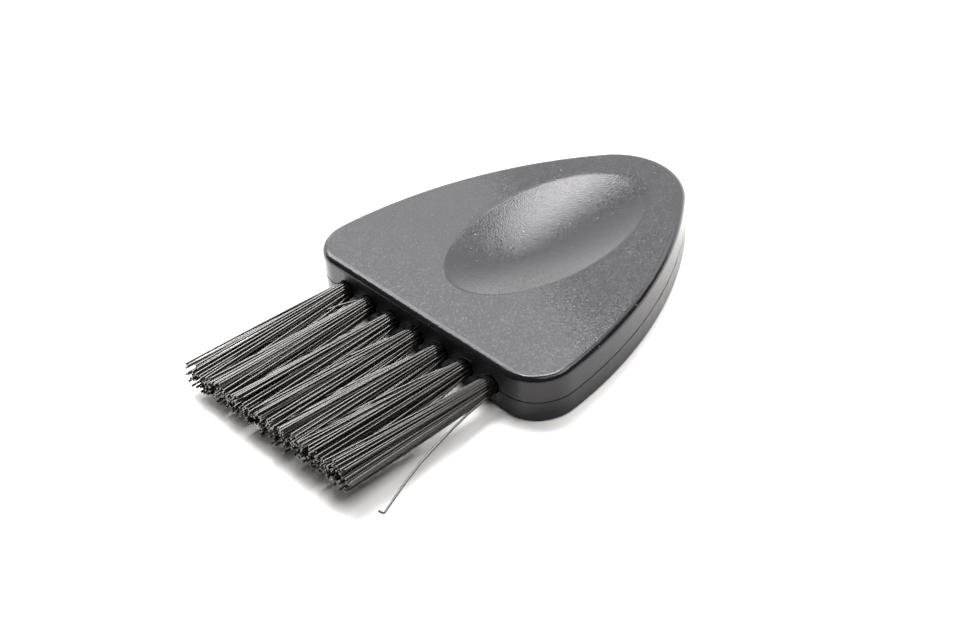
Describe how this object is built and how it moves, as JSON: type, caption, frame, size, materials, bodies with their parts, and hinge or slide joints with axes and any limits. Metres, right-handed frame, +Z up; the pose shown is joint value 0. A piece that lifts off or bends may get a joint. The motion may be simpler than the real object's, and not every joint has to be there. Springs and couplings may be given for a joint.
{
  "type": "shaver cleaning brush",
  "caption": "Small black shaver cleaning brush with a flat shield-shaped moulded handle, a thumb recess and a row of stiff bristle tufts along its front edge.",
  "frame": {"origin": "middle of the bounding box on the surface that the brush lies on", "axes": "+Y from the bristle tips to the rounded tip of the handle, +Z up out of the thumb recess, +X to the right seen from the bristles with the recess up"},
  "size_m": [0.0336, 0.052, 0.0051],
  "materials": {
    "handle_plastic": "fine satin texture",
    "bristle_nylon": "satin nylon",
    "anchor_steel": "plain flat wire"
  },
  "bodies": {
    "root": {"handle": "handle_plastic", "bristle_tuft_1": "bristle_nylon", "bristle_tuft_2": "bristle_nylon", "bristle_tuft_3": "bristle_nylon", "bristle_tuft_4": "bristle_nylon", "bristle_tuft_5": "bristle_nylon", "bristle_tuft_6": "bristle_nylon", "bristle_tuft_7": "bristle_nylon", "anchor_1": "anchor_steel", "anchor_2": "anchor_steel", "anchor_3": "anchor_steel", "anchor_4": "anchor_steel", "anchor_5": "anchor_steel", "anchor_6": "anchor_steel", "anchor_7": "anchor_steel"}
  },
  "joints": []
}
